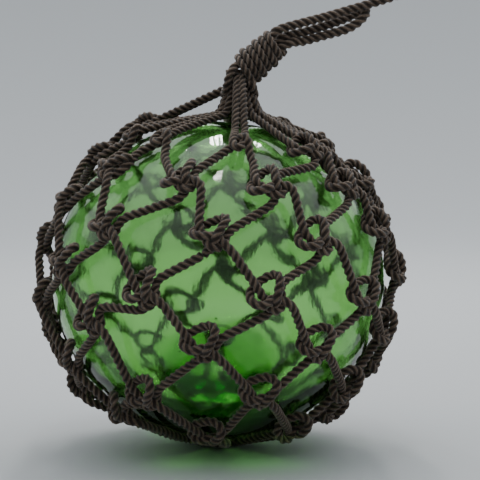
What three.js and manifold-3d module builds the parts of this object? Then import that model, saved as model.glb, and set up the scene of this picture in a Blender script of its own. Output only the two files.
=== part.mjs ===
// Glass float ball: a sealed green glass fishing float in a knotted rope net, with its hanging rope.
// Millimetres, +Z up, the viewer's side is -Y. The origin is the middle of the flat coil of rope underneath.
import * as THREE from 'three';
import { mergeVertices } from 'three/addons/utils/BufferGeometryUtils.js';
import Module from 'manifold-3d';

const wasm = await Module();
wasm.setup();

// Driving dimensions of the ball
const BALL_RADIUS = 140;
const BALL_HALF_HEIGHT = 133;
const BALL_REST_HEIGHT = 8.1;

// Driving dimensions of the net
const NET_ROPE = 6.5;
const GAP = 0.3;
const MESHES_ROUND = 10;
const ROW_LATITUDES = [56, 40, 24, 7, -8.5, -25, -42];
const NET_TURN = -3.5;
const NET_LEAN_RIGHT = 4.8;
const NET_LEAN_FRONT = 6.9;
const LEAN_FADES_BELOW = -45;
const KNOT_LENGTH = 30;
const KNOT_WIDTH = 22;
const KNOT_DEPTH = 19;
const STRAND_SPREAD = 6.5;
const STRAND_REACH = 6;
const DOUBLED_WIDTH = 13;
const DOUBLED_THICKNESS = 6;

// Driving dimensions of the crown, where the doubled strands meet over the ball
const CROWN_RISE = 30;
const CROWN_SHIFT = 4;
const CROWN_RADIUS = 9;
const NECK_RADIUS = 10.5;
const NECK_TOP_RADIUS = 6.5;
const NECK_LENGTH = 11;

// Driving dimensions of the flat coil of rope underneath, which the net is closed with
const COIL_RADIUS = 24;
const COIL_BULGE = 1;

// Driving dimensions of the hanging rope's wrapped knot and of the collar that goes through the crown
const HANGING_ROPE = 6.6;
const WRAP_TURNS = 6;
const WRAP_LOW_DIAMETER = 31;
const WRAP_HIGH_DIAMETER = 26;
const WRAP_GROOVE = 2.2;
const WRAP_LEAN = 49;
const WRAP_SLANT = 0.22;
const WRAP_RISE = 11.5;
const WRAP_SHIFT = 2.5;
const COLLAR_SPREAD = 11;
const COLLAR_DROP = 9;
const CORD_GAP = 0.8;

// The routes of the hanging rope's two free runs, from the wrapped knot's upper end
const STANDING_RUN = [
  [45.2, -22, 345.9], [51, -21.5, 349.6], [68, -17, 354.6], [85, -11, 359.3], [106, -6, 365.6],
  [125.5, -4, 371.4], [144, -2, 377.2], [160, 0, 383.8], [174, 2, 391.3],
];
const BIGHT_RUN = [
  [52, -16.5, 342.3], [57.5, -15, 344.6], [72, -10, 347.8], [93, -3, 354.6], [110, 5, 361.2],
  [117, 7.6, 364.8], [122.6, 5.4, 366.4], [124.4, 1, 365.4], [122, -3.4, 361.6], [116, -5.4, 355.6],
  [105.6, -7, 350], [86.3, -10, 344.6], [68, -14, 339.6], [61.5, -16.4, 339.6], [57, -17.5, 337.4],
];

// Driving dimensions of the eye that the hanging rope ends in
const EYE_LENGTH = 56;
const EYE_WIDTH = 34;
const EYE_KNOT_LENGTH = 24;
const EYE_KNOT_DIAMETER = 18;
const EYE_SUNK_IN_KNOT = 7;

// Outlines, each point as [across, along] in shares of the piece's half width and of its length
const KNOT_OUTLINE = [[0, -0.5], [0.8, -0.33], [1, 0.08], [0.8, 0.38], [0, 0.5]];
const EYE_KNOT_OUTLINE = [[0, 0], [0.6, 0], [1, 0.3], [0.8, 0.5], [1, 0.7], [0.6, 1], [0, 1]];
const EYE_OUTLINE = [[0, 0], [0.7, 0.3], [1, 0.65], [0.5, 0.95], [-0.5, 0.95], [-1, 0.65], [-0.7, 0.3]];

// How finely the round forms are cut into flats
const BALL_SIDES = 32;
const BALL_STEPS = 16;
const NET_ROPE_SIDES = 5;
const STRAND_STEPS = 1;
const DOUBLED_STEPS = 4;
const KNOT_SIDES = 5;
const ROUND_SIDES = 12;
const CORD_SIDES = 8;
const STANDING_STEPS = 10;
const BIGHT_STEPS = 22;
const EYE_STEPS = 14;
const COLLAR_STEPS = 4;
const JOIN_TOLERANCE = 0.5;

// What follows from them
const RADIANS = Math.PI / 180;
const BALL_CENTRE = new THREE.Vector3(0, 0, BALL_REST_HEIGHT + BALL_HALF_HEIGHT);
const UP = new THREE.Vector3(0, 0, 1);
const lastRow = ROW_LATITUDES.length - 1;
// A tube cut into straight steps falls short of its bend by this much at the middle of a step.
const bendShortfall = (span, steps) => (span / steps) ** 2 / (8 * BALL_RADIUS);
const strandLift = (span, steps) => NET_ROPE / 2 + GAP + bendShortfall(span, steps);

const solidFrom = (geometry) => {
  geometry.deleteAttribute('normal');
  geometry.deleteAttribute('uv');
  const merged = mergeVertices(geometry, 1e-4);
  return new wasm.Manifold(new wasm.Mesh({
    numProp: 3,
    vertProperties: merged.attributes.position.array,
    triVerts: new Uint32Array(merged.index.array),
  }));
};

const geometryFrom = (solid) => {
  const { vertProperties, triVerts } = solid.getMesh();
  const geometry = new THREE.BufferGeometry();
  geometry.setAttribute('position', new THREE.BufferAttribute(vertProperties, 3));
  geometry.setIndex(new THREE.BufferAttribute(triVerts, 1));
  return geometry;
};

const outline = (shares, width, length) => shares.map(([across, along]) => (
  new THREE.Vector2(across * width / 2, along * length)));

const sidedSection = (diameter, sides) => {
  const corners = [];
  for (let corner = 0; corner < sides; corner += 1) {
    const turn = 2 * Math.PI * corner / sides;
    corners.push(new THREE.Vector2(Math.cos(turn), Math.sin(turn)).multiplyScalar(diameter / 2));
  }
  return new THREE.Shape(corners);
};

const tube = (points, diameter, sides, steps, closed = false) => new THREE.ExtrudeGeometry(
  sidedSection(diameter, sides),
  { extrudePath: new THREE.CatmullRomCurve3(points, closed), steps },
);

// Two ropes side by side as one tube, its flat section turned with the glass under it
const band = (points, steps) => {
  const side = new THREE.Vector3().crossVectors(points[steps].clone().sub(points[0]),
    points[0].clone().sub(BALL_CENTRE)).normalize();
  const path = new THREE.CatmullRomCurve3(points);
  const frames = path.computeFrenetFrames(1, false);
  const turn = Math.atan2(side.dot(frames.binormals[0]), side.dot(frames.normals[0]));
  const corners = [[-2, 0], [-1, -1], [1, -1], [2, 0], [1, 1], [-1, 1]].map(([across, through]) => {
    const corner = new THREE.Vector2(across * DOUBLED_WIDTH / 4, through * DOUBLED_THICKNESS / 2);
    return corner.rotateAround(new THREE.Vector2(), turn);
  });
  return new THREE.ExtrudeGeometry(new THREE.Shape(corners), { extrudePath: path, steps });
};

const standing = (geometry, place, direction) => {
  const turn = new THREE.Quaternion().setFromUnitVectors(UP, direction);
  return geometry.applyQuaternion(turn).translate(place.x, place.y, place.z);
};

// The point over the glass in a direction from the ball's middle, and the glass's normal there
const overGlass = (direction, lift) => {
  const { x, y, z } = direction;
  const reach = 1 / Math.hypot(x / BALL_RADIUS, y / BALL_RADIUS, z / BALL_HALF_HEIGHT);
  const point = direction.clone().multiplyScalar(reach);
  const normal = new THREE.Vector3(
    point.x / BALL_RADIUS ** 2,
    point.y / BALL_RADIUS ** 2,
    point.z / BALL_HALF_HEIGHT ** 2,
  ).normalize();
  return { point: point.addScaledVector(normal, lift).add(BALL_CENTRE), normal };
};

// A direction of the net, which sits askew on the ball: its crown leans right and to the front
const netDirection = (azimuth, latitude) => {
  const level = Math.cos(latitude * RADIANS);
  const direction = new THREE.Vector3(
    level * Math.sin(azimuth * RADIANS),
    -level * Math.cos(azimuth * RADIANS),
    Math.sin(latitude * RADIANS),
  );
  const share = THREE.MathUtils.clamp((latitude + 90) / (LEAN_FADES_BELOW + 90), 0, 1);
  const lean = new THREE.Euler(NET_LEAN_FRONT * RADIANS * share, NET_LEAN_RIGHT * RADIANS * share, 0);
  return direction.applyEuler(lean);
};

// The direction of a knot, or of a place on it that is so many millimetres to the right of its middle and up
const knotDirection = (row, column, right = 0, up = 0) => {
  const azimuth = NET_TURN + 360 / MESHES_ROUND * (column + (row % 2) / 2);
  const latitude = ROW_LATITUDES[row];
  const level = BALL_RADIUS * Math.cos(latitude * RADIANS);
  return netDirection(azimuth + right / level / RADIANS, latitude + up / BALL_RADIUS / RADIANS);
};

// A rope drawn tight from one point to another: straight, but lifted clear of the glass where it would cut it
const drawnTight = (from, to, steps) => {
  const lift = strandLift(from.distanceTo(to), steps);
  const points = [];
  for (let step = 0; step <= steps; step += 1) {
    const point = from.clone().lerp(to, step / steps);
    const direction = point.clone().sub(BALL_CENTRE).normalize();
    const lowest = overGlass(direction, lift).point;
    const inside = point.distanceTo(BALL_CENTRE) < lowest.distanceTo(BALL_CENTRE);
    points.push(inside ? lowest : point);
  }
  return points;
};

const crownTop = overGlass(netDirection(0, 90), CROWN_RISE).point;
crownTop.x += CROWN_SHIFT;

// The wrapped knot's own frame: z along its length, x to its lower right, y away from the viewer
const wrapAxis = new THREE.Vector3(Math.sin(WRAP_LEAN * RADIANS), 0, Math.cos(WRAP_LEAN * RADIANS));
const wrapSide = new THREE.Vector3(wrapAxis.z, 0, -wrapAxis.x);
const wrapBack = new THREE.Vector3(0, 1, 0);
const wrapStart = crownTop.clone().add(new THREE.Vector3(WRAP_SHIFT, 0, WRAP_RISE));
const wrapFrame = new THREE.Matrix4().makeBasis(wrapSide, wrapBack, wrapAxis).setPosition(wrapStart);

// The glass: a slightly squat ball, sealed, so one solid
const makeBall = () => {
  const profile = [];
  for (let step = 0; step <= BALL_STEPS; step += 1) {
    const angle = Math.PI * (step / BALL_STEPS - 0.5);
    const radius = step % BALL_STEPS === 0 ? 0 : BALL_RADIUS * Math.cos(angle);
    profile.push(new THREE.Vector2(radius, BALL_HALF_HEIGHT * Math.sin(angle)));
  }
  const ball = new THREE.LatheGeometry(profile, BALL_SIDES);
  return ball.rotateX(Math.PI / 2).translate(0, 0, BALL_CENTRE.z);
};

// One knot of the net: broad at its shoulders, where the strands come in, and round at its lower end
const makeKnot = (direction) => {
  const knot = new THREE.LatheGeometry(outline(KNOT_OUTLINE, KNOT_WIDTH, KNOT_LENGTH), KNOT_SIDES);
  knot.scale(1, 1, KNOT_DEPTH / KNOT_WIDTH);
  const { point, normal } = overGlass(direction, KNOT_DEPTH / 2 + GAP);
  const side = new THREE.Vector3().crossVectors(UP, normal).normalize();
  const along = new THREE.Vector3().crossVectors(normal, side);
  knot.applyMatrix4(new THREE.Matrix4().makeBasis(side, along, normal).setPosition(point));
  return knot;
};

// A single strand from a knot to the next knot down, close on the glass
const makeStrand = (from, to) => {
  const lift = strandLift(BALL_RADIUS * from.angleTo(to), STRAND_STEPS);
  const points = [];
  for (let step = 0; step <= STRAND_STEPS; step += 1) {
    const direction = from.clone().lerp(to, step / STRAND_STEPS).normalize();
    points.push(overGlass(direction, lift).point);
  }
  return tube(points, NET_ROPE, NET_ROPE_SIDES, STRAND_STEPS);
};

// The doubled strands from a knot to a gathering place: two ropes side by side, as one flat band
const makeDoubled = (direction, gathered) => {
  const start = overGlass(direction, 0).point;
  return band(drawnTight(start, gathered, DOUBLED_STEPS), DOUBLED_STEPS);
};

// The coil that the net is closed with under the ball, pressed flat by the ball's weight
const makeCoil = () => {
  const height = BALL_REST_HEIGHT - GAP;
  const profile = [
    new THREE.Vector2(0, 0),
    new THREE.Vector2(COIL_RADIUS - COIL_BULGE, 0),
    new THREE.Vector2(COIL_RADIUS, height / 2),
    new THREE.Vector2(COIL_RADIUS - COIL_BULGE, height),
    new THREE.Vector2(0, height),
  ];
  return new THREE.LatheGeometry(profile, ROUND_SIDES).rotateX(Math.PI / 2);
};

// The neck where the crown's doubled strands are bunched under the wrapped knot
const makeNeck = () => {
  const profile = [
    new THREE.Vector2(0, -NECK_LENGTH),
    new THREE.Vector2(NECK_RADIUS, -NECK_LENGTH),
    new THREE.Vector2(NECK_RADIUS, 0),
    new THREE.Vector2(NECK_TOP_RADIUS, NET_ROPE / 2),
    new THREE.Vector2(0, NET_ROPE / 2),
  ];
  return standing(new THREE.LatheGeometry(profile, CORD_SIDES).rotateX(Math.PI / 2), crownTop, UP);
};

const makeNet = () => {
  const pieces = [makeCoil(), makeNeck()];
  for (let column = 0; column < MESHES_ROUND; column += 1) {
    for (let row = 0; row <= lastRow; row += 1) {
      pieces.push(makeKnot(knotDirection(row, column)));
      const below = row % 2 === 0 ? column - 1 : column;
      [-1, 1].filter(() => row < lastRow).forEach((side) => {
        const leaves = knotDirection(row, column, side * STRAND_SPREAD, -STRAND_REACH);
        const enters = knotDirection(row + 1, side < 0 ? below : below + 1, -side * STRAND_SPREAD, STRAND_REACH);
        pieces.push(makeStrand(leaves, enters));
      });
    }
    const outward = netDirection(NET_TURN + 360 / MESHES_ROUND * column, 0).setZ(0);
    const crownEnd = crownTop.clone().addScaledVector(outward, CROWN_RADIUS);
    const coilEnd = outward.clone().multiplyScalar(COIL_RADIUS / 2).setZ(BALL_REST_HEIGHT - GAP - NET_ROPE / 2);
    pieces.push(makeDoubled(knotDirection(0, column), crownEnd));
    pieces.push(makeDoubled(knotDirection(lastRow, column), coilEnd));
  }
  return wasm.Manifold.union(pieces.map(solidFrom));
};

// The wraps of the noose, one ridge for each turn, slanted as the turns lie
const makeWraps = (grow) => {
  const profile = [new THREE.Vector2(0, -grow)];
  const add = (radius, turn) => profile.push(new THREE.Vector2(radius + grow, turn * HANGING_ROPE));
  for (let turn = 0; turn < WRAP_TURNS; turn += 1) {
    const ridge = THREE.MathUtils.lerp(WRAP_LOW_DIAMETER, WRAP_HIGH_DIAMETER, turn / (WRAP_TURNS - 1)) / 2;
    add(ridge - WRAP_GROOVE, turn);
    add(ridge, turn + 0.5);
  }
  add(WRAP_HIGH_DIAMETER / 2 - WRAP_GROOVE, WRAP_TURNS);
  profile.push(new THREE.Vector2(0, WRAP_TURNS * HANGING_ROPE + grow));
  profile[1].y -= grow;
  const wraps = new THREE.LatheGeometry(profile, ROUND_SIDES).rotateX(Math.PI / 2);
  return wraps.applyMatrix4(new THREE.Matrix4().makeShear(0, WRAP_SLANT, 0, 0, 0, 0)).applyMatrix4(wrapFrame);
};

// The noose's loop under the wraps: it comes down each side of the neck and goes in among the crown strands
const makeCollar = (side, grow) => {
  const place = (out, up) => crownTop.clone().add(new THREE.Vector3(side * out, -NET_ROPE / 2, up));
  const top = wrapStart.clone().addScaledVector(wrapAxis, HANGING_ROPE);
  const bow = place(COLLAR_SPREAD, WRAP_RISE / 3);
  const foot = place(COLLAR_SPREAD, -COLLAR_DROP - grow);
  return tube([top, bow, foot], HANGING_ROPE + 2 * grow, CORD_SIDES, COLLAR_STEPS);
};

const makeWrappedKnot = (grow) => wasm.Manifold.union(
  [makeWraps(grow), makeCollar(-1, grow), makeCollar(1, grow)].map(solidFrom),
);

const routePoints = (route) => route.map((place) => new THREE.Vector3(...place));

// The eye at the end of the standing run: a loop of the rope, knotted on itself
const makeEye = () => {
  const [before, end] = routePoints(STANDING_RUN.slice(-2));
  const along = end.clone().sub(before).normalize();
  const across = new THREE.Vector3().crossVectors(along, wrapBack).normalize();
  const knotStart = end.clone().addScaledVector(along, CORD_GAP);
  const eyeStart = knotStart.clone().addScaledVector(along, EYE_KNOT_LENGTH - EYE_SUNK_IN_KNOT);
  const loop = outline(EYE_OUTLINE, EYE_WIDTH, EYE_LENGTH).map((place) => (
    eyeStart.clone().addScaledVector(across, place.x).addScaledVector(along, place.y)));
  const profile = outline(EYE_KNOT_OUTLINE, EYE_KNOT_DIAMETER, EYE_KNOT_LENGTH);
  const knot = new THREE.LatheGeometry(profile, CORD_SIDES).rotateX(Math.PI / 2);
  return wasm.Manifold.union([
    solidFrom(tube(loop, HANGING_ROPE, CORD_SIDES, EYE_STEPS, true)),
    solidFrom(standing(knot, knotStart, along)),
  ]);
};

const group = new THREE.Group();
const netRope = new THREE.MeshStandardMaterial({ color: 0x5b4d45, roughness: 0.95, metalness: 0 });
const hangingRope = new THREE.MeshStandardMaterial({ color: 0x64564c, roughness: 0.95, metalness: 0 });
const glass = new THREE.MeshStandardMaterial({
  color: 0x3f8a3a, roughness: 0.08, metalness: 0, transparent: true, opacity: 0.55,
});

const addPiece = (name, geometry, material) => {
  const mesh = new THREE.Mesh(geometry, material);
  mesh.name = name;
  group.add(mesh);
};

const clearOfKnot = makeNet().asOriginal().simplify(JOIN_TOLERANCE).subtract(makeWrappedKnot(GAP));
const standingRun = tube(routePoints(STANDING_RUN), HANGING_ROPE, CORD_SIDES, STANDING_STEPS);
const bightRun = tube(routePoints(BIGHT_RUN), HANGING_ROPE, CORD_SIDES, BIGHT_STEPS);
addPiece('glass_ball', makeBall(), glass);
addPiece('net', geometryFrom(clearOfKnot), netRope);
addPiece('wrapped_knot', geometryFrom(makeWrappedKnot(0)), hangingRope);
addPiece('hanging_rope', standingRun, hangingRope);
addPiece('rope_bight', bightRun, hangingRope);
addPiece('rope_eye', geometryFrom(makeEye()), hangingRope);

export default group;
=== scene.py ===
"""A green blown-glass float ball in its knotted rope net, with its hanging rope."""
import math

import bmesh
import bpy
import numpy as np
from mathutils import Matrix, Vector, noise


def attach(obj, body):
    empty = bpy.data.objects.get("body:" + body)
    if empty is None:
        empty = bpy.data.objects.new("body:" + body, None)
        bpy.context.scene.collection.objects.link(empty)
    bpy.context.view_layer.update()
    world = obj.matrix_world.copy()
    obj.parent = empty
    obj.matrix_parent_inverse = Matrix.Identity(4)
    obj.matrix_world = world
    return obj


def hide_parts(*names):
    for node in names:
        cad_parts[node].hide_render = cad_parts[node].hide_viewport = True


# The view and the light.
# The float stands on a pale table inside a plain round studio bowl, under ceiling
# lamps of narrow tubes and a soft sky. A long lens looks at it almost level.
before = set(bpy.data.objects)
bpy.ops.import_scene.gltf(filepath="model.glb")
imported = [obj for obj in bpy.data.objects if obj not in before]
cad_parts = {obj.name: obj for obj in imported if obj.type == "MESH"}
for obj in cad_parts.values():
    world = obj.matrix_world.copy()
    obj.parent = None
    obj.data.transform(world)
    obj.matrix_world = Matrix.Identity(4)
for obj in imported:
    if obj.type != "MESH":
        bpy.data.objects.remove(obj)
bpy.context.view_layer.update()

METRES = 0.001
LENS = 115.7
CAMERA_PLACE = (0, -1.3, 0.2695)
CAMERA_DIPS = 4.2
CAMERA_TURNS_RIGHT = 0.8

camera = bpy.data.objects.new("camera", bpy.data.cameras.new("camera"))
camera.data.lens = LENS
camera.location = CAMERA_PLACE
camera.rotation_euler = (math.radians(90 - CAMERA_DIPS), 0, math.radians(-CAMERA_TURNS_RIGHT))
bpy.context.scene.collection.objects.link(camera)
bpy.context.scene.camera = camera

BOWL_FLOOR_RADIUS = 2.2
BOWL_CORNER_RADIUS = 5.0
BOWL_RISE_ANGLE = 50
BOWL_SIDES = 96
BOWL_CORNER_STEPS = 16
BOWL_COLOUR = (0.375, 0.389, 0.398, 1)
# Painted shade: the bowl is coloured darker in front, standing for the unlit room on the camera's
# side.
BOWL_PAINTED_SHADE_IN_FRONT = (0.16, 0.165, 0.17, 1)
BOWL_ROUGHNESS = 0.7


def studio_bowl():
    """The table top and the backdrop in one sweep, painted darker behind the camera as painted
    shade of the unlit room there.
    """
    profile = [(0.0, 0.0), (BOWL_FLOOR_RADIUS, 0.0)]
    for step in range(1, BOWL_CORNER_STEPS + 1):
        angle = math.radians(BOWL_RISE_ANGLE) * step / BOWL_CORNER_STEPS
        reach = BOWL_FLOOR_RADIUS + BOWL_CORNER_RADIUS * math.sin(angle)
        profile.append((reach, BOWL_CORNER_RADIUS * (1 - math.cos(angle))))
    corners = [(0, 0, 0)]
    for radius, height in profile[1:]:
        for side in range(BOWL_SIDES):
            turn = 2 * math.pi * side / BOWL_SIDES
            corners.append((radius * math.cos(turn), radius * math.sin(turn), height))
    faces = [(0, 1 + side, 1 + (side + 1) % BOWL_SIDES) for side in range(BOWL_SIDES)]
    for ring in range(len(profile) - 2):
        first = 1 + ring * BOWL_SIDES
        for side in range(BOWL_SIDES):
            beside = (side + 1) % BOWL_SIDES
            above = first + BOWL_SIDES
            faces.append((first + side, above + side, above + beside, first + beside))
    mesh = bpy.data.meshes.new("studio_bowl")
    mesh.from_pydata(corners, [], faces)
    mesh.shade_smooth()
    bowl = bpy.data.objects.new("studio_bowl", mesh)
    bpy.context.scene.collection.objects.link(bowl)
    finish = bpy.data.materials.new("studio_bowl")
    finish.use_nodes = True
    shader = finish.node_tree.nodes["Principled BSDF"]
    shader.inputs["Roughness"].default_value = BOWL_ROUGHNESS
    place = finish.node_tree.nodes.new("ShaderNodeTexCoord")
    parts = finish.node_tree.nodes.new("ShaderNodeSeparateXYZ")
    share = finish.node_tree.nodes.new("ShaderNodeMapRange")
    share.interpolation_type = "SMOOTHSTEP"
    share.inputs["From Min"].default_value = -BOWL_FLOOR_RADIUS
    share.inputs["From Max"].default_value = -BOWL_FLOOR_RADIUS / 4
    # Painted shade: mixes the darker front colour in towards the camera.
    front_shade_mix = finish.node_tree.nodes.new("ShaderNodeMix")
    front_shade_mix.data_type = "RGBA"
    front_shade_mix.inputs["A"].default_value = BOWL_PAINTED_SHADE_IN_FRONT
    front_shade_mix.inputs["B"].default_value = BOWL_COLOUR
    link = finish.node_tree.links.new
    link(place.outputs["Object"], parts.inputs["Vector"])
    link(parts.outputs["Y"], share.inputs["Value"])
    link(share.outputs["Result"], front_shade_mix.inputs["Factor"])
    link(front_shade_mix.outputs["Result"], shader.inputs["Base Color"])
    mesh.materials.append(finish)


def lamp(name, place, towards, width, height, watts, colour):
    """A soft rectangular lamp that faces one point."""
    light = bpy.data.lights.new(name, "AREA")
    light.shape = "RECTANGLE"
    light.size = width
    light.size_y = height
    light.energy = watts
    light.color = colour
    holder = bpy.data.objects.new(name, light)
    holder.location = place
    facing = Vector(place) - Vector(towards)
    holder.rotation_euler = facing.to_track_quat("Z", "Y").to_euler()
    bpy.context.scene.collection.objects.link(holder)


TUBES_IN_LAMP = 3
TUBE_SPACING = 0.045
TUBE_WIDTH = 0.014
TUBE_COLOUR = (1, 0.99, 0.97)

# Each lamp's place, the length of its tubes and the watts of one tube.
CEILING_LAMPS = {
    "left_ceiling_lamp": ((-0.03, 1.1, 1.55), 0.8, 3.5),
    "right_ceiling_lamp": ((0.37, 1.25, 1.55), 0.8, 3.2),
    "far_left_ceiling_lamp": ((-0.4, 0.85, 1.6), 0.35, 0.9),
    "front_ceiling_lamp": ((-0.02, -0.2, 2.0), 0.3, 0.9),
}
WASH_PLACE = (0.0, 2.0, 2.4)
WASH_TOWARDS = (0, 5.6, 1.6)
WASH_SIZE = (2.4, 0.5)
WASH_WATTS = 19
WASH_COLOUR = (0.96, 0.98, 1)


def tube_lamp(name, place, length, watts):
    """A ceiling lamp of three narrow tubes side by side, running away from the viewer."""
    for tube in range(TUBES_IN_LAMP):
        across = (tube - (TUBES_IN_LAMP - 1) / 2) * TUBE_SPACING
        tube_place = (place[0] + across, place[1], place[2])
        below = (tube_place[0], tube_place[1], 0)
        lamp(f"{name}_{tube + 1}", tube_place, below, TUBE_WIDTH, length, watts, TUBE_COLOUR)


studio_bowl()
for lamp_name, settings in CEILING_LAMPS.items():
    tube_lamp(lamp_name, *settings)
lamp("backdrop_wash", WASH_PLACE, WASH_TOWARDS, *WASH_SIZE, WASH_WATTS, WASH_COLOUR)

# Light that comes green through the glass onto the table, from two small lamps
# that face straight down: place, height, width, depth and watts.
THROUGH_GLASS_COLOUR = (0.16, 1, 0.06)
GREEN_LIGHTS = {
    "green_light_front": ((0.01, -0.08), 0.02, 0.12, 0.03, 0.005),
    "green_light_back": ((0.0, 0.06), 0.015, 0.1, 0.05, 0.02),
}
for lamp_name, (spot, height, *settings) in GREEN_LIGHTS.items():
    lamp(lamp_name, (*spot, height), (*spot, 0), *settings, THROUGH_GLASS_COLOUR)

SKY_COLOUR_LOW = (0.26, 0.28, 0.3, 1)
SKY_COLOUR_HIGH = (1.85, 1.92, 1.99, 1)
SKY_BRIGHTEST = (0, 0.45, 0.89)

sky = bpy.data.worlds.new("studio_sky")
bpy.context.scene.world = sky
sky.use_nodes = True
sky_nodes = sky.node_tree.nodes
sky_place = sky_nodes.new("ShaderNodeTexCoord")
sky_height = sky_nodes.new("ShaderNodeVectorMath")
sky_height.operation = "DOT_PRODUCT"
sky_height.inputs[1].default_value = SKY_BRIGHTEST
sky_mix = sky_nodes.new("ShaderNodeMix")
sky_mix.data_type = "RGBA"
sky_mix.inputs["A"].default_value = SKY_COLOUR_LOW
sky_mix.inputs["B"].default_value = SKY_COLOUR_HIGH
sky.node_tree.links.new(sky_place.outputs["Generated"], sky_height.inputs[0])
sky.node_tree.links.new(sky_height.outputs["Value"], sky_mix.inputs["Factor"])
sky.node_tree.links.new(sky_mix.outputs["Result"], sky_nodes["Background"].inputs["Color"])

# The glass ball.
# A hollow ball of green glass, blown by hand, a little flat from pole to pole.
# Its wall is wavy inside and out, thicker low down, with seeds of trapped air.
BALL_RADIUS = 140
BALL_HALF_HEIGHT = 133
BALL_REST_HEIGHT = 8.1
BALL_CENTRE = np.array([0, 0, BALL_REST_HEIGHT + BALL_HALF_HEIGHT])
SKIN_WAVE = 0.3
SKIN_WAVE_LENGTH = 48
SKIN_RIPPLE = 0.05
SKIN_RIPPLE_LENGTH = 13
WALL_THICKNESS = 6.5
WALL_EXTRA_BELOW = 6.0
WALL_WAVE = 0.45
WALL_WAVE_LENGTH = 60
WALL_RIPPLE = 0.14
WALL_RIPPLE_LENGTH = 14
SKIN_DETAIL = 7
WALL_DETAIL = 7
SEAL_DIRECTION = (-0.03, 0.62, -0.78)
SEAL_RADIUS = 58
SEAL_THICKNESS = 22
SEAL_EDGE = 5
INNER_WALL_ROUGHNESS = 0.09
SKIN_WAVES_DRAWN_OUT = 1.6
WALL_WAVES_DRAWN_OUT = 1.4
WAVE_SHIFT = (7.3, 3.1, 5.7)
SEED_COUNT = 46
SEED_DETAIL = 2
SEED_DRAW = 5
SEED_SIZES = (0.25, 0.8)
SEED_DEPTH = 2.6
SEED_STRETCH = 0.9
GLASS_COLOUR = (0.72, 0.92, 0.64, 1)
GLASS_DEPTH_COLOUR = (0.39, 0.75, 0.22, 1)
GLASS_DENSITY = 104.0
GLASS_IOR = 1.5
GLASS_RIPPLE_SCALE = 190.0
GLASS_RIPPLE_DETAIL = 3.0
GLASS_RIPPLE_DRAWN_DOWN = 0.35
GLASS_BUMP = 0.13
GLASS_BUMP_DISTANCE = 0.0006


def unit(vectors):
    """The same directions with a length of one."""
    return vectors / np.linalg.norm(vectors, axis=-1, keepdims=True)


def over_glass(direction, lift):
    """Points on the ball along directions from its centre, moved out from the glass by lift."""
    direction = np.asarray(direction, float)
    squares = np.array([BALL_RADIUS**2, BALL_RADIUS**2, BALL_HALF_HEIGHT**2], float)
    reach = 1 / np.sqrt((direction**2 / squares).sum(-1, keepdims=True))
    on_glass = direction * reach
    outward = unit(on_glass / squares)
    return on_glass + outward * np.asarray(lift, float)[..., None] + BALL_CENTRE


def ball_directions(detail):
    """Evenly spread directions, and the triangles between them."""
    sphere = bmesh_sphere(detail)
    directions = np.array([corner.co[:] for corner in sphere.verts])
    triangles = np.array([[corner.index for corner in face.verts] for face in sphere.faces])
    sphere.free()
    return unit(directions), triangles


def bmesh_sphere(detail):
    """A ball of small triangles with a radius of one."""
    sphere = bmesh.new()
    bmesh.ops.create_icosphere(sphere, subdivisions=detail, radius=1.0)
    sphere.verts.ensure_lookup_table()
    sphere.verts.index_update()
    return sphere


def waves(places, wave_length, seed):
    """Smooth uneven waves between about -1 and 1 at each place."""
    shift = Vector([seed * step for step in WAVE_SHIFT])
    return np.array([noise.noise(Vector(place) / wave_length + shift) for place in places])


def skin(directions):
    """The outer face of the glass: an even ball with slow shallow waves."""
    round_places = over_glass(directions, np.zeros(len(directions)))
    stretched = (round_places - BALL_CENTRE) * np.array([1, 1, SKIN_WAVES_DRAWN_OUT])
    lift = SKIN_WAVE * waves(stretched, SKIN_WAVE_LENGTH, 1)
    lift += SKIN_RIPPLE * waves(stretched, SKIN_RIPPLE_LENGTH, 2)
    return over_glass(directions, lift - SKIN_WAVE)


def inner_wall(directions):
    """The inner face: the wall's thickness changes slowly, and it is thickest below."""
    round_places = over_glass(directions, np.zeros(len(directions)))
    thickness = WALL_THICKNESS + WALL_EXTRA_BELOW * np.clip(-directions[:, 2], 0, 1) ** 2
    stretched = (round_places - BALL_CENTRE) * np.array([1, 1, WALL_WAVES_DRAWN_OUT])
    thickness += WALL_WAVE * waves(stretched, WALL_WAVE_LENGTH, 3)
    thickness += WALL_RIPPLE * waves(stretched, WALL_RIPPLE_LENGTH, 4)
    towards_seal = directions @ unit(np.array(SEAL_DIRECTION))
    from_seal = np.arccos(np.clip(towards_seal, -1, 1)) * BALL_RADIUS
    thickness += SEAL_THICKNESS / (1 + np.exp((from_seal - SEAL_RADIUS) / SEAL_EDGE))
    return over_glass(directions, -thickness)


def seeds():
    """Small bubbles inside the wall, drawn out a little along it."""
    drawn = np.random.default_rng(SEED_DRAW)
    ball, triangles = ball_directions(SEED_DETAIL)
    places, faces = [], []
    for _ in range(SEED_COUNT):
        middle_direction = unit(drawn.normal(size=3))
        size = drawn.uniform(*SEED_SIZES)
        middle = over_glass(middle_direction[None], np.array([-SEED_DEPTH]))[0]
        across = unit(np.cross(middle_direction, drawn.normal(size=3)))
        stretch = drawn.uniform(0, SEED_STRETCH) * np.outer(ball @ across, across)
        faces.append(triangles[:, ::-1] + sum(len(placed) for placed in places))
        places.append(middle + size * (ball + stretch))
    return np.vstack(places), np.vstack(faces)


def piece_from(name, places, faces):
    """A mesh piece made from places in millimetres."""
    mesh = bpy.data.meshes.new(name)
    mesh.from_pydata((places * METRES).tolist(), [], faces)
    mesh.shade_smooth()
    piece = bpy.data.objects.new(name, mesh)
    bpy.context.scene.collection.objects.link(piece)
    return piece


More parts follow.
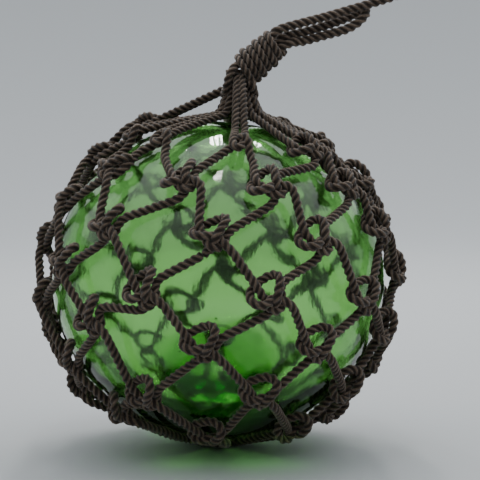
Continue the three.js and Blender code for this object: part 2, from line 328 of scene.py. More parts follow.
def green_glass():
    """Clear green glass: see-through by plain values, a little rough on the inner wall."""
    finish = bpy.data.materials.new("green_glass")
    finish.use_nodes = True
    tree = finish.node_tree
    shader = tree.nodes["Principled BSDF"]
    shader.inputs["Base Color"].default_value = GLASS_COLOUR
    inside = tree.nodes.new("ShaderNodeAttribute")
    inside.attribute_name = "inner_wall"
    unsmooth = tree.nodes.new("ShaderNodeMath")
    unsmooth.operation = "MULTIPLY"
    unsmooth.inputs[1].default_value = INNER_WALL_ROUGHNESS
    tree.links.new(inside.outputs["Fac"], unsmooth.inputs[0])
    tree.links.new(unsmooth.outputs["Value"], shader.inputs["Roughness"])
    shader.inputs["IOR"].default_value = GLASS_IOR
    shader.inputs["Transmission Weight"].default_value = 1.0
    depth = tree.nodes.new("ShaderNodeVolumeAbsorption")
    depth.inputs["Color"].default_value = GLASS_DEPTH_COLOUR
    depth.inputs["Density"].default_value = GLASS_DENSITY
    tree.links.new(depth.outputs["Volume"], tree.nodes["Material Output"].inputs["Volume"])
    place = tree.nodes.new("ShaderNodeTexCoord")
    ripple = tree.nodes.new("ShaderNodeTexNoise")
    ripple.inputs["Scale"].default_value = GLASS_RIPPLE_SCALE
    ripple.inputs["Detail"].default_value = GLASS_RIPPLE_DETAIL
    bump = tree.nodes.new("ShaderNodeBump")
    bump.inputs["Strength"].default_value = GLASS_BUMP
    bump.inputs["Distance"].default_value = GLASS_BUMP_DISTANCE
    drawn_down = tree.nodes.new("ShaderNodeMapping")
    drawn_down.inputs["Scale"].default_value = (1.0, 1.0, GLASS_RIPPLE_DRAWN_DOWN)
    tree.links.new(place.outputs["Object"], drawn_down.inputs["Vector"])
    tree.links.new(drawn_down.outputs["Vector"], ripple.inputs["Vector"])
    tree.links.new(ripple.outputs["Fac"], bump.inputs["Height"])
    tree.links.new(bump.outputs["Normal"], shader.inputs["Normal"])
    return finish


skin_directions, skin_triangles = ball_directions(SKIN_DETAIL)
wall_directions, wall_triangles = ball_directions(WALL_DETAIL)
seed_places, seed_triangles = seeds()
glass_places = [skin(skin_directions), inner_wall(wall_directions), seed_places]
glass_faces = [
    skin_triangles,
    wall_triangles[:, ::-1] + len(skin_directions),
    seed_triangles + len(skin_directions) + len(wall_directions),
]
glass_ball = piece_from(
    "blown_glass_ball", np.vstack(glass_places), np.vstack(glass_faces).tolist()
)
on_inner_wall = np.zeros(sum(len(places) for places in glass_places), np.float32)
on_inner_wall[len(skin_directions):len(skin_directions) + len(wall_directions)] = 1
inner_mark = glass_ball.data.attributes.new("inner_wall", "FLOAT", "POINT")
inner_mark.data.foreach_set("value", on_inner_wall)
glass_ball.data.materials.append(green_glass())
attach(glass_ball, "root")
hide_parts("glass_ball")

# The rope net.
# Three-strand brown rope, netted round the ball in seven rows of ten knots, nearly
# all sheet bends. Each row's rope hangs in bights that the next row's rope ties into.
NET_ROPE = 6.5
ROPE_LAY = 2.42
STRAND_RADIUS = 0.256
STRAND_OFFSET = 0.292
POINTS_ON_STRAND = 6
STRAND_SWEEP = 1.275
ROPE_STEP = 1.7
ROPE_EASING = 4
STRANDS = 3
NET_FULLNESS = 1.09
ROPE_GAP = 0.1

# Linear colours of the rope's dark fibres, its light ones and its worn patches.
NET_COLOURS = [(0.026, 0.017, 0.01), (0.215, 0.148, 0.1), (0.3, 0.225, 0.17)]
OFF_EVERY_ROPE = (0.3, 0.5, 0.8)
YARNS_APART = 613.0
YARN_SCALE = 1.9
YARN_DETAIL = 3.0
YARN_ROUGHNESS = 0.6
YARN_DRAWN_OUT = 0.16
YARN_RAMP = (0.32, 0.7)
YARN_BUMP = 0.7
YARN_BUMP_DISTANCE = 0.0007
PATCH_SCALE = 0.05
PATCH_DETAIL = 4.0
PATCH_RANGE = (0.45, 0.75)
PATCH_SHARE = 0.55
# Painted shade: this colour darkens the rope in the grooves between its strands.
PAINTED_GROOVE_SHADE = (0.16, 0.14, 0.12, 1)
ROPE_ROUGHNESS = 0.85
ROPE_SHINE = 0.3
ROPE_SHEEN = 0.25
ROPE_SHEEN_ROUGHNESS = 0.5


def evenly(path, step, closed=False):
    """The same line with its points an even step apart."""
    path = np.vstack([path, path[:1]]) if closed else np.asarray(path, float)
    run = np.r_[0, np.cumsum(np.linalg.norm(np.diff(path, axis=0), axis=1))]
    count = max(2, round(run[-1] / step))
    stops = np.linspace(0, run[-1], count + 1)
    points = np.stack([np.interp(stops, run, path[:, axis]) for axis in range(3)], 1)
    return points[:-1] if closed else points


def eased(path, passes, closed=False):
    """The same line with its corners rounded off."""
    path = np.array(path, float)
    for _ in range(passes):
        if closed:
            path = 0.5 * path + 0.25 * (np.roll(path, 1, 0) + np.roll(path, -1, 0))
        else:
            path[1:-1] = 0.5 * path[1:-1] + 0.25 * (path[:-2] + path[2:])
    return path


def strand_outline():
    """Angles, radii and groove depth round a rope of three strands, one rope across."""
    angles, radii, groove = [], [], []
    for strand in range(STRANDS):
        for point in range(POINTS_ON_STRAND):
            share = 2 * point / (POINTS_ON_STRAND - 1) - 1
            sweep = share * STRAND_SWEEP
            out = STRAND_OFFSET + STRAND_RADIUS * math.cos(sweep)
            side = STRAND_RADIUS * math.sin(sweep)
            angles.append(2 * math.pi * strand / STRANDS + math.atan2(side, out))
            radii.append(math.hypot(out, side))
            groove.append(share**4)
    return np.array(angles), np.array(radii), np.array(groove)


def turned_frames(path, closed):
    """Two directions across the line at each point, carried along it without twist."""
    if closed:
        tangents = unit(np.roll(path, -1, 0) - np.roll(path, 1, 0))
    else:
        tangents = unit(np.gradient(path, axis=0))
    across = np.zeros_like(path)
    start = np.cross(tangents[0], OFF_EVERY_ROPE)
    across[0] = start / np.linalg.norm(start)
    for index in range(1, len(path)):
        carried = across[index - 1] - tangents[index] * (across[index - 1] @ tangents[index])
        across[index] = carried / math.sqrt(carried @ carried)
    return tangents, across, np.cross(tangents, across)


def laid_rope(path, width, closed=False, lay_length=ROPE_LAY):
    """Corners, faces, straightened places and grooves of one rope along a line."""
    path = eased(evenly(eased(path, 1, closed), ROPE_STEP, closed), ROPE_EASING, closed)
    tangents, across, over = turned_frames(path, closed)
    angles, radii, groove = strand_outline()
    steps = np.linalg.norm(np.diff(path, axis=0), axis=1)
    run = np.r_[0, np.cumsum(steps)]
    lay = 2 * math.pi / (lay_length * width)
    turn = run * lay
    if closed:
        last = across[-1] - tangents[0] * (across[-1] @ tangents[0])
        slip = math.atan2(last @ over[0], last @ across[0])
        whole = (run[-1] + np.linalg.norm(path[0] - path[-1])) * lay + slip
        strand_turn = 2 * math.pi / STRANDS
        spare = round(whole / strand_turn) * strand_turn - whole
        turn = turn + np.arange(len(path)) / len(path) * spare
    theta = angles[None, :] + turn[:, None]
    ring = np.cos(theta)[..., None] * across[:, None] + np.sin(theta)[..., None] * over[:, None]
    corners = (path[:, None] + radii[None, :, None] * width * ring).reshape(-1, 3)
    flat = radii[None, :] * width
    lengths = np.broadcast_to(run[:, None], theta.shape)
    straight = np.stack([flat * np.cos(theta), flat * np.sin(theta), lengths], -1).reshape(-1, 3)
    around = len(angles)
    rings = len(path) if closed else len(path) - 1
    first = (np.arange(rings)[:, None] * around + np.arange(around)).ravel()
    beside = (np.arange(rings)[:, None] * around + (np.arange(around) + 1) % around).ravel()
    ahead = around * len(path)
    faces = np.stack([first, beside, (beside + around) % ahead, (first + around) % ahead], 1)
    faces = faces.tolist()
    if not closed:
        faces.append(list(range(around))[::-1])
        faces.append(list(range(ahead - around, ahead)))
    return corners, faces, straight, np.tile(groove, len(path))


def rope_piece(name, ropes, finish):
    """One mesh piece from ropes, each a line, a width, whether it closes and perhaps its lay."""
    corners, faces, straight, grooves = [], [], [], []
    placed = 0
    for number, rope in enumerate(ropes):
        rope_corners, rope_faces, rope_straight, rope_grooves = laid_rope(*rope)
        corners.append(rope_corners)
        faces += [[corner + placed for corner in face] for face in rope_faces]
        straight.append(rope_straight + np.array([0, 0, YARNS_APART * number]))
        grooves.append(rope_grooves)
        placed += len(rope_corners)
    piece = piece_from(name, np.vstack(corners), faces)
    laid = piece.data.attributes.new("straight_rope", "FLOAT_VECTOR", "POINT")
    laid.data.foreach_set("vector", np.vstack(straight).astype(np.float32).ravel())
    depth = piece.data.attributes.new("groove", "FLOAT", "POINT")
    depth.data.foreach_set("value", np.hstack(grooves).astype(np.float32))
    piece.data.materials.append(finish)
    return piece


def rope_finish(name, dark, light, worn):
    """Matt, weathered fibre: fine yarns nearly along the rope, with painted shade that darkens it
    between the strands.
    """
    finish = bpy.data.materials.new(name)
    finish.use_nodes = True
    tree = finish.node_tree
    link = tree.links.new
    shader = tree.nodes["Principled BSDF"]
    straight = tree.nodes.new("ShaderNodeAttribute")
    straight.attribute_name = "straight_rope"
    groove = tree.nodes.new("ShaderNodeAttribute")
    groove.attribute_name = "groove"
    drawn_out = tree.nodes.new("ShaderNodeMapping")
    drawn_out.inputs["Scale"].default_value = (1.0, 1.0, YARN_DRAWN_OUT)
    link(straight.outputs["Vector"], drawn_out.inputs["Vector"])
    yarns = tree.nodes.new("ShaderNodeTexNoise")
    yarns.inputs["Scale"].default_value = YARN_SCALE
    yarns.inputs["Detail"].default_value = YARN_DETAIL
    yarns.inputs["Roughness"].default_value = YARN_ROUGHNESS
    link(drawn_out.outputs["Vector"], yarns.inputs["Vector"])
    patches = tree.nodes.new("ShaderNodeTexNoise")
    patches.inputs["Scale"].default_value = PATCH_SCALE
    patches.inputs["Detail"].default_value = PATCH_DETAIL
    link(straight.outputs["Vector"], patches.inputs["Vector"])
    fibre = tree.nodes.new("ShaderNodeValToRGB")
    fibre.color_ramp.elements[0].position = YARN_RAMP[0]
    fibre.color_ramp.elements[0].color = (*dark, 1)
    fibre.color_ramp.elements[1].position = YARN_RAMP[1]
    fibre.color_ramp.elements[1].color = (*light, 1)
    link(yarns.outputs["Fac"], fibre.inputs["Fac"])
    weathered = tree.nodes.new("ShaderNodeMix")
    weathered.data_type = "RGBA"
    weathered.inputs["B"].default_value = (*worn, 1)
    patch_share = tree.nodes.new("ShaderNodeMapRange")
    patch_share.inputs["From Min"].default_value = PATCH_RANGE[0]
    patch_share.inputs["From Max"].default_value = PATCH_RANGE[1]
    patch_share.inputs["To Max"].default_value = PATCH_SHARE
    link(patches.outputs["Fac"], patch_share.inputs["Value"])
    link(patch_share.outputs["Result"], weathered.inputs["Factor"])
    link(fibre.outputs["Color"], weathered.inputs["A"])
    # Painted shade: the rope's colour is multiplied darker in the grooves between the strands.
    groove_shade = tree.nodes.new("ShaderNodeMix")
    groove_shade.data_type = "RGBA"
    groove_shade.blend_type = "MULTIPLY"
    groove_shade.inputs["B"].default_value = PAINTED_GROOVE_SHADE
    link(groove.outputs["Fac"], groove_shade.inputs["Factor"])
    link(weathered.outputs["Result"], groove_shade.inputs["A"])
    link(groove_shade.outputs["Result"], shader.inputs["Base Color"])
    shader.inputs["Roughness"].default_value = ROPE_ROUGHNESS
    shader.inputs["Specular IOR Level"].default_value = ROPE_SHINE
    shader.inputs["Sheen Weight"].default_value = ROPE_SHEEN
    shader.inputs["Sheen Roughness"].default_value = ROPE_SHEEN_ROUGHNESS
    bump = tree.nodes.new("ShaderNodeBump")
    bump.inputs["Strength"].default_value = YARN_BUMP
    bump.inputs["Distance"].default_value = YARN_BUMP_DISTANCE
    link(yarns.outputs["Fac"], bump.inputs["Height"])
    link(bump.outputs["Normal"], shader.inputs["Normal"])
    return finish


MESHES_ROUND = 10
ROW_LATITUDES = [56, 40, 24, 7, -8.5, -25, -42]
NET_TURN = -3.5
NET_LEAN_RIGHT = 4.8
NET_LEAN_FRONT = 6.9
LEAN_FADES_BELOW = -45
GLASS_GAP = 0.15
STRAND_LIFT = NET_ROPE / 2 + GLASS_GAP
CURVE_STEPS = 24
KNOT_SETTLING_STEP = 0.4
KNOT_SETTLING_ROUNDS = 1100
KNOT_ROUNDS_A_PULL = 8
KNOT_PULL = 0.03
KNOT_LENGTH_FORCE = 1.8
KNOT_PUSH_FORCE = 1.2
KNOT_STIFFNESS = 0.08
KNOT_ROPE_WIDTH = 0.85
KNOT_FREE_OF_ITSELF = 1.25
KNOT_LOWEST = 0.5
KNOT_END_HEIGHT = 0.55
KNOT_REACH = 2.4
KNOT_LEAN = 33
KNOT_SQUEEZE = (0.8, 0.95, 0.9)
ARCH_SQUEEZE = 0.76
SQUEEZE_FULL_INSIDE = 1.5
TIED_CROWN_COLUMNS = (1, 4, 7)
NET_DRAW = 11
KNOT_TILTS = (-10, 4)

# The lean of each knot form and the angle at which its ropes leave it.
KNOT_FORMS = [(30, 45), (45, 42), (22, 46)]

# Reach and height of the points that lead each rope away from the knot, in rope widths.
KNOT_LEADS = [(7.5, 0.6), (4.2, 0.8)]

# The hanging bight of the upper rope, in rope widths: right, up and out from the glass.
BIGHT_CORE = [
    (-1.1, 1.7, 1.3), (-1.0, 0.2, 1.6), (-0.9, -1.2, 1.9), (0, -2.3, 2.1),
    (0.9, -1.2, 1.9), (1.0, 0.2, 1.6), (1.1, 1.7, 1.3),
]

# The lower rope comes up through the bight, goes round its legs and under itself.
TYING_CORE = [
    (-1.0, -2.2, 0.6), (-0.5, -1.2, 0.9), (0.0, -0.1, 2.4), (1.1, 0.9, 2.9), (2.1, 1.4, 1.9),
    (1.5, 2.1, 0.7), (0, 2.4, 0.5), (-1.6, 2.0, 0.7), (-2.1, 1.0, 1.8), (-1.3, 0.1, 2.8),
    (0.1, -0.4, 1.3), (1.4, -1.0, 2.7), (2.1, -2.2, 1.8),
]

# Under the crown most ropes are only looped through each other.
CROWN_LINK_BIGHT = [
    (-0.6, 3.0, 1.0), (-0.58, 1.6, 1.3), (-0.62, 0.2, 1.6), (-0.55, -0.9, 1.6), (0, -1.5, 1.5),
    (0.55, -0.9, 1.5), (0.62, 0.2, 1.4), (0.58, 1.6, 1.2), (0.6, 3.0, 1.0),
]
CROWN_LINK_LOOP = [
    (-2.3, -2.5, 0.6), (-1.3, -1.1, 0.6), (-0.6, -0.1, 0.6), (0, 0.6, 1.2), (0.6, 0.6, 2.2),
    (1.15, -0.1, 1.8), (1.6, -1.2, 0.9), (2.3, -2.5, 0.6),
]


def turned(points, degrees):
    """Points turned in the plane of the net."""
    points = np.array(points, float)
    c, s = math.cos(math.radians(degrees)), math.sin(math.radians(degrees))
    x, y = points[:, 0] * c - points[:, 1] * s, points[:, 0] * s + points[:, 1] * c
    return np.stack([x, y, points[:, 2]], 1)


def curve_through(points):
    """A smooth curve through points, as many small straight steps."""
    points = np.array(points, float)
    padded = np.vstack([points[:1], points, points[-1:]])
    share = np.linspace(0, 1, CURVE_STEPS, endpoint=False)[:, None]
    pieces = []
    for a, b, c, d in zip(padded, padded[1:], padded[2:], padded[3:]):
        bend = 2 * a - 5 * b + 4 * c - d
        turn = 3 * b - a - 3 * c + d
        pieces.append(0.5 * (2 * b + (c - a) * share + bend * share**2 + turn * share**3))
    return np.vstack(pieces + [points[-1:]])


def settled_knot(lean, strand_angle):
    """Two ropes tied loosely in a sheet bend, then pulled tight by their four ends."""
    angle = math.radians(strand_angle)

    def strand(right, up):
        """The points that lead to one end of a rope, from the far one inwards."""
        return [
            (right * reach * math.sin(angle), up * reach * math.cos(angle), height)
            for reach, height in KNOT_LEADS
        ]

    bight = [*strand(-1, 1), *turned(BIGHT_CORE, lean), *strand(1, 1)[::-1]]
    tying = [*strand(-1, -1), *turned(TYING_CORE, lean), *strand(1, -1)[::-1]]
    upper = evenly(curve_through(bight), KNOT_SETTLING_STEP)
    lower = evenly(curve_through(tying), KNOT_SETTLING_STEP)
    beads = np.vstack([upper, lower])
    join = len(upper)
    count = len(beads)
    links = np.array([i for i in range(count - 1) if i != join - 1])
    first, second = np.triu_indices(count, 1)
    apart = math.ceil(KNOT_FREE_OF_ITSELF * KNOT_ROPE_WIDTH / KNOT_SETTLING_STEP)
    free = ((first < join) != (second < join)) | (second - first > apart)
    first, second = first[free], second[free]
    ends = [0, join - 1, join, count - 1]
    pulls = beads[ends] * np.array([1, 1, 0])
    pulls = unit(pulls) * KNOT_PULL

    def shared(moves, here, there):
        """Each bead's mean move, from moves that push pairs of beads apart."""
        total = np.zeros_like(beads)
        for axis in range(3):
            total[:, axis] = np.bincount(there, moves[:, axis], count)
            total[:, axis] -= np.bincount(here, moves[:, axis], count)
        touched = np.bincount(here, minlength=count) + np.bincount(there, minlength=count)
        return total / np.maximum(touched, 1)[:, None]

    for _ in range(KNOT_SETTLING_ROUNDS):
        beads[ends] += pulls
        for _ in range(KNOT_ROUNDS_A_PULL):
            gap = beads[links + 1] - beads[links]
            length = np.linalg.norm(gap, axis=1)[:, None]
            pull = (KNOT_SETTLING_STEP / length - 1) * gap / 2
            beads += KNOT_LENGTH_FORCE * shared(pull, links, links + 1)
            gap = beads[second] - beads[first]
            length = np.linalg.norm(gap, axis=1)
            near = length < KNOT_ROPE_WIDTH
            push = (KNOT_ROPE_WIDTH / length[near] - 1)[:, None] * gap[near] / 2
            beads += KNOT_PUSH_FORCE * shared(push, first[near], second[near])
            beads[:, 2] = np.maximum(beads[:, 2], KNOT_LOWEST)
        for begin, end in ((0, join), (join, count)):
            middle = (beads[begin:end - 2] + beads[begin + 2:end]) / 2
            beads[begin + 1:end - 1] += KNOT_STIFFNESS * (middle - beads[begin + 1:end - 1])
        beads[ends, 2] = KNOT_END_HEIGHT
    return beads[:join], beads[join:]


def within_reach(path):
    """The part of a settled rope that belongs to the knot."""
    inside = np.flatnonzero(np.hypot(path[:, 0], path[:, 1]) < KNOT_REACH)
    core = turned(path[inside[0]:inside[-1] + 1], -KNOT_LEAN)
    outward = np.hypot(core[:, :1], core[:, 1:2]) - SQUEEZE_FULL_INSIDE
    fade = np.clip(outward / (KNOT_REACH - SQUEEZE_FULL_INSIDE), 0, 1)
    squeeze = np.tile(KNOT_SQUEEZE, (len(core), 1))
    squeeze[:, 1] = np.where(core[:, 1] > 0, ARCH_SQUEEZE, squeeze[:, 1])
    return turned(core * (squeeze + (1 - squeeze) * fade), KNOT_LEAN)


def net_direction(azimuth, latitude):
    """A direction from the ball's centre in the net, which leans as it hangs from its crown."""
    azimuth, height = math.radians(azimuth), math.radians(latitude)
    share = min(1, max(0, (latitude + 90) / (LEAN_FADES_BELOW + 90)))
    right = math.radians(NET_LEAN_RIGHT * share)
    front = math.radians(NET_LEAN_FRONT * share)
    x = math.cos(height) * math.sin(azimuth)
    y = -math.cos(height) * math.cos(azimuth)
    z = math.sin(height)
    x, z = x * math.cos(right) + z * math.sin(right), z * math.cos(right) - x * math.sin(right)
    y, z = y * math.cos(front) - z * math.sin(front), z * math.cos(front) + y * math.sin(front)
    return np.array([x, y, z])


def knot_azimuth(row, column):
    """How far round the ball a knot sits, in degrees."""
    return NET_TURN + 360 / MESHES_ROUND * (column + row % 2 / 2)


CROWN_LIFTS_KNOTS = 1.5

# Knots that sit off their even places: millimetres to the right and up.
KNOTS_OFF_PLACE = {
    (0, 0): (9, 10), (0, -1): (-8, 4), (0, 1): (26, 0), (1, 0): (6, 4), (1, 1): (14, 0),
    (1, -1): (6, 3), (2, -1): (-4, -5), (3, -1): (-2, -4), (3, 0): (2, 1), (3, 1): (0, -6),
    (4, -1): (-3, 5), (5, -1): (-3, -12), (5, 0): (5, 0), (5, 1): (12, -3),
    (6, 0): (8, -14), (6, 1): (20, -10),
}


def on_knot(row, column, points):
    """A knot's points, in rope widths, laid on the glass at its place in the net."""
    near_column = (column + MESHES_ROUND // 2) % MESHES_ROUND - MESHES_ROUND // 2
    right_off, up_off = KNOTS_OFF_PLACE.get((row, near_column), (0, 0))
    latitude = ROW_LATITUDES[row] + math.degrees(up_off / BALL_RADIUS)
    parallel = BALL_RADIUS * math.cos(math.radians(latitude))
    azimuth = knot_azimuth(row, column) + math.degrees(right_off / parallel)
    middle = net_direction(azimuth, latitude)
    right = unit(net_direction(azimuth + 1, latitude) - net_direction(azimuth - 1, latitude))
    up = unit(np.cross(middle, right))
    up = up if up[2] > 0 else -up
    spread = (points[:, :1] * right + points[:, 1:2] * up) * NET_ROPE / BALL_RADIUS
    lift = points[:, 2] * NET_ROPE + (CROWN_LIFTS_KNOTS if row == 0 else GLASS_GAP)
    return over_glass(unit(middle + spread), lift)


def drawn_tight(begin, end, lift=STRAND_LIFT):
    """A rope pulled straight between two places, lifted where it would cut the glass."""
    count = max(3, round(np.linalg.norm(end - begin) / (NET_ROPE * KNOT_SETTLING_STEP)))
    shares = np.linspace(0, 1, count + 1)[1:-1, None]
    line = begin + (end - begin) * shares - BALL_CENTRE
    squares = np.array([BALL_RADIUS + lift, BALL_RADIUS + lift, BALL_HALF_HEIGHT + lift]) ** 2
    inside = np.sqrt((line**2 / squares).sum(1, keepdims=True))
    return line / np.minimum(inside, 1) + BALL_CENTRE


def joined(parts, closed=False):
    """One line from parts with drawn-tight rope between them."""
    line = [parts[0]]
    for before, after in zip(parts, parts[1:]):
        line += [drawn_tight(before[-1], after[0]), after]
    if closed:
        line.append(drawn_tight(parts[-1][-1], parts[0][0]))
    return np.vstack(line)


settled_knots = [settled_knot(*form) for form in KNOT_FORMS]
knot_parts = [(within_reach(upper), within_reach(lower)) for upper, lower in settled_knots]
crown_link = tuple(
    evenly(curve_through(line), KNOT_SETTLING_STEP)
    for line in (CROWN_LINK_BIGHT, CROWN_LINK_LOOP)
)
net_draw = np.random.default_rng(NET_DRAW)
knot_places = (len(ROW_LATITUDES), MESHES_ROUND)
knot_choice = net_draw.integers(0, len(KNOT_FORMS), knot_places)
knot_tilt = net_draw.uniform(*KNOT_TILTS, knot_places)


def knot_rope(row, column, part):
    """The bight (part 0) or the tying rope (part 1) of one knot, in place."""
    column %= MESHES_ROUND
    linked = row == 0 and column not in TIED_CROWN_COLUMNS
    points = crown_link[part] if linked else knot_parts[knot_choice[row, column]][part]
    return on_knot(row, column, turned(points, knot_tilt[row, column]))


net_rope = rope_finish("net_rope", *NET_COLOURS)
net_pieces = []
for row in range(len(ROW_LATITUDES) - 1):
    parts = []
    for column in range(MESHES_ROUND):
        parts.append(knot_rope(row, column, 1))
        parts.append(knot_rope(row + 1, column + row % 2, 0))
    loop = joined(parts, closed=True)
    row_rope = (loop, NET_ROPE * NET_FULLNESS, True)
    net_pieces.append(rope_piece(f"net_row_{row + 1}", [row_rope], net_rope))

CROWN_RISE = 30
CROWN_SHIFT = 4
CROWN_RADIUS = 17
CROWN_GATHER_DROP = 23
HIGH_CROWN_COLUMNS = (0, 7)
HIGH_START = 9
NECK_RADIUS = 8
NECK_RISE = 14
PAIR_SPREAD = NET_ROPE / 2 + ROPE_GAP
HIGH_PAIR_SHARE = 0.7
GATHER_PAIR_SHARE = 0.8
NECK_PAIR_SHARE = 0.5
CROWN_STEP = 2.6
crown_top = over_glass(net_direction(0, 90)[None], np.array([CROWN_RISE]))[0]
crown_top = crown_top + np.array([CROWN_SHIFT, 0, 0])


def crown_leg(knot_end, side, gathered):
    """From the top of the neck down and out to one end of a first-row bight.

    A gathered leg lies low along the glass, the others come straight from the neck.
    """
    out = unit((knot_end - crown_top) * np.array([1, 1, 0]))
    pair_share = 1 if gathered else HIGH_PAIR_SHARE
    beside = np.array([-out[1], out[0], 0]) * side * PAIR_SPREAD * pair_share
    gather = crown_top + out * CROWN_RADIUS + beside * GATHER_PAIR_SHARE
    gather = gather - np.array([0, 0, CROWN_GATHER_DROP])
    neck = crown_top + out * NECK_RADIUS + beside * NECK_PAIR_SHARE
    top = neck + np.array([0, 0, NECK_RISE])
    if not gathered:
        start = neck + np.array([0, 0, HIGH_START]) if out[1] < 0 else neck
        return np.vstack([start, drawn_tight(start, knot_end)])
    rising = evenly(curve_through([top, neck, gather]), CROWN_STEP)
    return np.vstack([rising, drawn_tight(gather, knot_end)])


crown_ropes = []
for column in range(MESHES_ROUND):
    bight = knot_rope(0, column, 0)
    gathered = column not in HIGH_CROWN_COLUMNS
    down, back_up = crown_leg(bight[0], -1, gathered), crown_leg(bight[-1], 1, gathered)[::-1]
    line = np.vstack([down, bight, back_up])
    crown_ropes.append((line, NET_ROPE, False))
net_pieces.append(rope_piece("net_crown", crown_ropes, net_rope))

COIL_RADIUS = 24
COIL_HEIGHT = (STRAND_OFFSET + STRAND_RADIUS) * NET_ROPE * NET_FULLNESS + ROPE_GAP
COIL_TURNS = 3.2
COIL_START = 2.6
COIL_POINTS = 120
FOOT_LIFT = 0.4


def foot_leg(knot_end):
    """From a last-row knot down and in, under the ball, to the flat coil."""
    in_line = unit(knot_end * np.array([1, 1, 0]))
    foot = in_line * (COIL_RADIUS - NET_ROPE / 2)
    foot = foot + np.array([0, 0, COIL_HEIGHT + FOOT_LIFT])
    leg = drawn_tight(knot_end, foot)
    leg[:, 2] = np.maximum(leg[:, 2], COIL_HEIGHT)
    return np.vstack([leg, foot])


foot_ropes = []
last_row = len(ROW_LATITUDES) - 1
for column in range(MESHES_ROUND):
    tying = knot_rope(last_row, column, 1)
    line = np.vstack([foot_leg(tying[0])[::-1], tying, foot_leg(tying[-1])])
    foot_ropes.append((line, NET_ROPE * NET_FULLNESS, False))
coil_angles = np.linspace(0, 2 * math.pi * COIL_TURNS, COIL_POINTS)
coil_radii = np.linspace(COIL_START, COIL_RADIUS - NET_ROPE / 2, COIL_POINTS)
coil = np.stack([
    coil_radii * np.cos(coil_angles),
    coil_radii * np.sin(coil_angles),
    np.full(COIL_POINTS, COIL_HEIGHT),
], 1)
foot_ropes.append((coil, NET_ROPE, False))
net_pieces.append(rope_piece("net_foot", foot_ropes, net_rope))

for piece in net_pieces:
    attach(piece, "root")
    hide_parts("net")

# The wrapped knot.
# The hanging rope is wound six times round the gathered crown and pulled tight,
# and its two loose loops go down round the neck on either side.
HANGING_ROPE = 6.6
HANGING_COLOURS = [(0.032, 0.021, 0.013), (0.245, 0.172, 0.12), (0.34, 0.255, 0.195)]
WRAP_TURNS = 6
WRAP_LOW_DIAMETER = 31
WRAP_HIGH_DIAMETER = 26
WRAP_LEAN = 49
WRAP_SLANT = -0.08
WRAP_LAY = 2.8
WRAP_ROPE = 5.7
WRAP_FULLNESS = 1.3
WRAP_RISE = 11.5
WRAP_SHIFT = 2.5
WRAP_END_TUCK = 2
LOOP_STEP = 2.0
COLLAR_ROOT = 8
COLLAR_TOP_OUT = 8
COLLAR_SPREAD = 11
COLLAR_FORWARD = 9
COLLAR_DROP = 2
COLLAR_SWING_OUT = 2
COLLAR_SWING_FORWARD = 4
COLLAR_TAIL_OUT = 2
COLLAR_TAIL_BACK = 12
COLLAR_TAIL_DROP = 5
WRAP_POINTS = 26
WRAP_ENDS_OUT = 1.5
WRAP_UNEVEN = 0.9
WRAP_UNEVEN_BEAT = 9.7

hanging_finish = rope_finish("hanging_rope", *HANGING_COLOURS)
wrap_lean = math.radians(WRAP_LEAN)
wrap_axis = np.array([math.sin(wrap_lean), 0, math.cos(wrap_lean)])
wrap_side = np.array([math.cos(wrap_lean), 0, -math.sin(wrap_lean)])
wrap_back = np.array([0, 1.0, 0])
wrap_start = crown_top + np.array([WRAP_SHIFT, 0, WRAP_RISE])
wrap_length = WRAP_TURNS * HANGING_ROPE


def wrap_ring(angle, along, radius):
    """One place on the winding."""
    x, y = radius * math.cos(angle), radius * math.sin(angle)
    return wrap_start + wrap_axis * (along + WRAP_SLANT * x) + wrap_side * x + wrap_back * y


def wound_wraps():
    """The winding, from the low end to the high one."""
    line = []
    for point in range(int(WRAP_TURNS * WRAP_POINTS) + 1):
        turn = point / WRAP_POINTS
        share = turn / WRAP_TURNS
        width = WRAP_LOW_DIAMETER + (WRAP_HIGH_DIAMETER - WRAP_LOW_DIAMETER) * share
        along = WRAP_ENDS_OUT + (wrap_length - 2 * WRAP_ENDS_OUT) * share
        uneven = WRAP_UNEVEN * math.sin(WRAP_UNEVEN_BEAT * turn)
        radius = (width - HANGING_ROPE) / 2 + WRAP_FULLNESS + uneven
        line.append(wrap_ring(-2 * math.pi * turn, along, radius))
    first, last = line[0], line[-1]
    low_end = wrap_start + wrap_axis * HANGING_ROPE
    high_end = wrap_start + wrap_axis * (wrap_length - HANGING_ROPE)
    low_tuck = (low_end + first) / 2 - wrap_back * WRAP_END_TUCK
    high_tuck = (high_end + last) / 2 + wrap_back * WRAP_END_TUCK
    return np.array([low_end, low_tuck, *line, high_tuck, high_end])


def collar(side):
    """One loop of the winding rope that goes down round the neck."""
    root = wrap_start + wrap_axis * COLLAR_ROOT
    low = crown_top + np.array([side * COLLAR_SPREAD, -COLLAR_FORWARD, -COLLAR_DROP])
    high = wrap_start + wrap_side * side * COLLAR_TOP_OUT - wrap_back * COLLAR_TOP_OUT
    swing = (low + high) / 2 + np.array([side * COLLAR_SWING_OUT, -COLLAR_SWING_FORWARD, 0])
    tail = low + np.array([side * COLLAR_TAIL_OUT, COLLAR_TAIL_BACK, -COLLAR_TAIL_DROP])
    return evenly(curve_through([root, high, swing, low, tail]), LOOP_STEP)


wrap_ropes = [(wound_wraps(), WRAP_ROPE, False, WRAP_LAY)]
wrap_ropes += [(collar(side), HANGING_ROPE, False) for side in (-1, 1)]
wrapped_knot = rope_piece("wound_knot", wrap_ropes, hanging_finish)
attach(wrapped_knot, "root")
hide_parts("wrapped_knot")

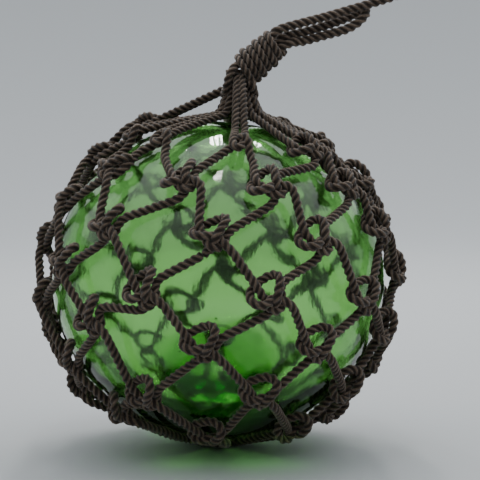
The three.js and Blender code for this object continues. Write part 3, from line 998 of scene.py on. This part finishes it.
# The hanging rope.
# One run is held taut up to the right and ends in its eye. Under it the same
# rope goes out and comes back as a long flat bight, caught in the wraps.
STANDING_RUN = [
    (45.2, -22, 345.9), (51, -21.5, 349.6), (68, -17, 354.6), (85, -11, 359.3), (106, -6, 365.6),
    (125.5, -4, 371.4), (144, -2, 377.2), (160, 0, 383.8), (174, 2, 391.3),
]
BIGHT_RUN = [
    (52, -16.5, 342.3), (57.5, -15, 344.6), (72, -10, 347.8), (93, -3, 354.6), (110, 5, 361.2),
    (117, 7.6, 364.8), (122.6, 5.4, 366.4), (124.4, 1, 365.4), (122, -3.4, 361.6),
    (116, -5.4, 355.6), (105.6, -7, 350), (86.3, -10, 344.6), (68, -14, 339.6),
    (61.5, -16.4, 339.6), (57, -17.5, 337.4),
]
EYE_LENGTH = 56
EYE_WIDTH = 34
EYE_KNOT_LENGTH = 24
EYE_KNOT_DIAMETER = 18
EYE_KNOT_TURNS = 3.4
EYE_KNOT_POINTS = 90
EYE_SUNK_IN_KNOT = 7
STEM_START = 0.4
STEM_PAST_EYE_START = 6
CORD_GAP = 0.8
ROOT_DEPTH = 9
RUN_FULLNESS = 1.17

# Where the runs are rooted in the wraps: millimetres across them and back.
STANDING_ROOT = (-3, -2)
BIGHT_FIRST_ROOT = (1, 2.5)
BIGHT_LAST_ROOT = (4, 0)

# The loop of the eye, in shares of its half width and of its length.
EYE_SHAPE = [
    (-0.1, 0.0), (-0.45, 0.22), (-0.85, 0.48), (-0.86, 0.72), (-0.5, 0.9), (0, 0.95),
    (0.5, 0.9), (0.86, 0.72), (0.85, 0.48), (0.45, 0.22), (0.1, 0.0),
]


def root_in_wraps(across, back):
    """Where a run starts, a little way down inside the wraps."""
    depth = wrap_axis * (wrap_length - ROOT_DEPTH)
    return tuple(wrap_start + depth + wrap_side * across + wrap_back * back)


standing_route = [root_in_wraps(*STANDING_ROOT), *STANDING_RUN]
bight_route = [root_in_wraps(*BIGHT_FIRST_ROOT), *BIGHT_RUN, root_in_wraps(*BIGHT_LAST_ROOT)]
standing_line = evenly(curve_through(standing_route), ROPE_STEP)
bight_line = evenly(curve_through(bight_route), ROPE_STEP)

run_end = np.array(STANDING_RUN[-1], float)
run_along = unit(run_end - np.array(STANDING_RUN[-2], float))
eye_across = unit(np.cross(run_along, [0, 1, 0]))
knot_start = run_end + run_along * CORD_GAP
eye_start = knot_start + run_along * (EYE_KNOT_LENGTH - EYE_SUNK_IN_KNOT)


def eye_loop():
    """The loop that goes over a hook: both legs leave the knot together."""
    half = EYE_WIDTH / 2 - HANGING_ROPE / 2
    places = [eye_start + eye_across * half * x + run_along * EYE_LENGTH * y for x, y in EYE_SHAPE]
    return evenly(curve_through(places), LOOP_STEP)


def eye_winding():
    """The turns of rope round the foot of the eye."""
    line = []
    radius = (EYE_KNOT_DIAMETER - HANGING_ROPE) / 2
    side = unit(np.cross(run_along, eye_across))
    last_point = EYE_KNOT_POINTS - 1
    for point in range(EYE_KNOT_POINTS):
        turn = EYE_KNOT_TURNS * point / last_point
        along = HANGING_ROPE / 2 + (EYE_KNOT_LENGTH - HANGING_ROPE) * point / last_point
        angle = -2 * math.pi * turn
        line.append(
            knot_start + run_along * along
            + (eye_across * math.cos(angle) + side * math.sin(angle)) * radius
        )
    return np.array(line)


stem = np.array([
    knot_start + run_along * STEM_START, eye_start + run_along * STEM_PAST_EYE_START
])
rope_eye = rope_piece(
    "rope_eye_loop",
    [
        (eye_loop(), HANGING_ROPE, False),
        (eye_winding(), HANGING_ROPE, False),
        (evenly(stem, LOOP_STEP), HANGING_ROPE, False),
    ],
    hanging_finish,
)
run_width = HANGING_ROPE * RUN_FULLNESS
hanging_run = rope_piece("hanging_run", [(standing_line, run_width, False)], hanging_finish)
hanging_bight = rope_piece("hanging_bight", [(bight_line, run_width, False)], hanging_finish)
for piece, node in (
    (rope_eye, "rope_eye"),
    (hanging_run, "hanging_rope"),
    (hanging_bight, "rope_bight"),
):
    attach(piece, "root")
    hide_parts(node)
